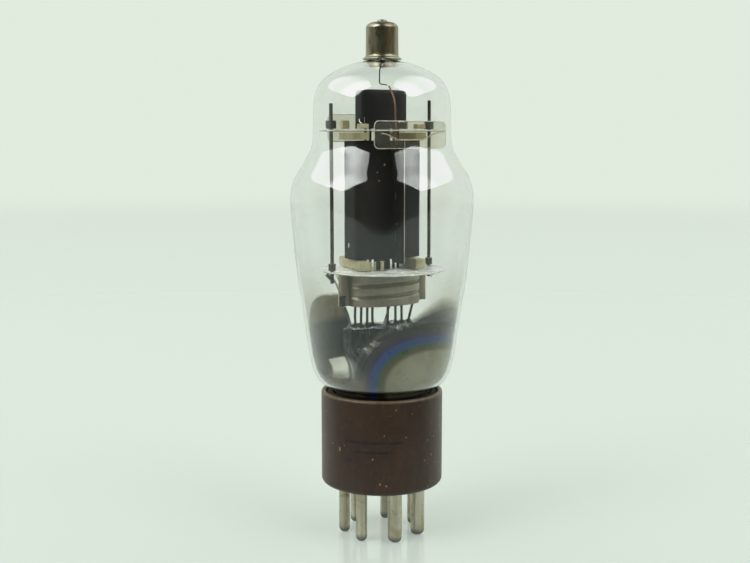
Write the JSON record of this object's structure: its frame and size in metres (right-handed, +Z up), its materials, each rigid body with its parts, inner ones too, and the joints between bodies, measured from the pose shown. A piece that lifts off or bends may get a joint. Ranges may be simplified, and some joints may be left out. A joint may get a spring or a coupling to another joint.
{
  "type": "vacuum tube",
  "caption": "Glass beam-power valve with a shouldered bulb, round moulded pin base, metal top cap and visible electrode mount.",
  "frame": {"origin": "on the tube's axis at the level of the pin tips, the lowest point of the tube standing on its pins", "axes": "+Z up the tube's axis towards the top cap; -Y is the side the larger base pins and the front mica spacer are turned towards; +X to the right seen from there"},
  "size_m": [0.0516, 0.0516, 0.1461],
  "materials": {
    "clear_glass": "clear, polished",
    "phenolic": "satin moulded phenolic",
    "tinned_brass": "tinned, slightly dull",
    "cap_metal": "nickel plated, tarnished",
    "cement": "rough baked cement",
    "solder": "dull solder",
    "carbonised": "carbon-blackened nickel",
    "nickel": "bright rolled nickel",
    "copper": "bare copper",
    "mica": "clear sheet mica, lightly coated",
    "steatite": "unglazed steatite",
    "oxide_cathode": "oxide-coated sleeve",
    "alumina": "alumina-coated wire",
    "grid_wire": "drawn wire",
    "dark_metal": "dark oxidised wire"
  },
  "bodies": {
    "root": {"anode_left": "carbonised", "anode_right": "carbonised", "upper_shield_can": "carbonised", "anode_ribbon": "copper", "anode_seal_wire": "dark_metal", "bar_left_lower": "steatite", "bar_left_upper": "steatite", "bar_right_lower": "steatite", "bar_right_upper": "steatite", "block_left_front": "steatite", "block_left_rear": "steatite", "block_right_front": "steatite", "block_right_rear": "steatite", "base_shell": "phenolic", "basing_cement": "cement", "beam_plate_left": "nickel", "beam_plate_right": "nickel", "cap_cement": "cement", "cap_solder": "solder", "cathode_sleeve": "oxide_cathode", "collar_left_lower": "dark_metal", "collar_left_upper": "dark_metal", "collar_right_lower": "dark_metal", "collar_right_upper": "dark_metal", "control_grid": "grid_wire", "screen_grid": "grid_wire", "exhaust_tube": "clear_glass", "getter_cup": "nickel", "getter_support": "nickel", "glass_bulb": "clear_glass", "glass_stem": "clear_glass", "heater": "alumina", "lower_disc": "mica", "top_mica": "mica", "spacer_front": "mica", "spacer_rear": "mica", "pin_heater_a": "tinned_brass", "pin_heater_b": "tinned_brass", "pin_screen": "tinned_brass", "pin_grid": "tinned_brass", "pin_cathode": "tinned_brass", "pin_spare": "tinned_brass", "pin_beam": "tinned_brass", "shield_front": "nickel", "shield_rear": "nickel", "stem_lead_1": "dark_metal", "stem_lead_2": "dark_metal", "stem_lead_3": "dark_metal", "stem_lead_4": "dark_metal", "stem_lead_5": "dark_metal", "stem_lead_6": "dark_metal", "stem_lead_7": "dark_metal", "stem_lead_8": "dark_metal", "stem_lead_9": "dark_metal", "support_rod_left": "dark_metal", "support_rod_right": "dark_metal", "top_cap": "cap_metal"}
  },
  "joints": []
}
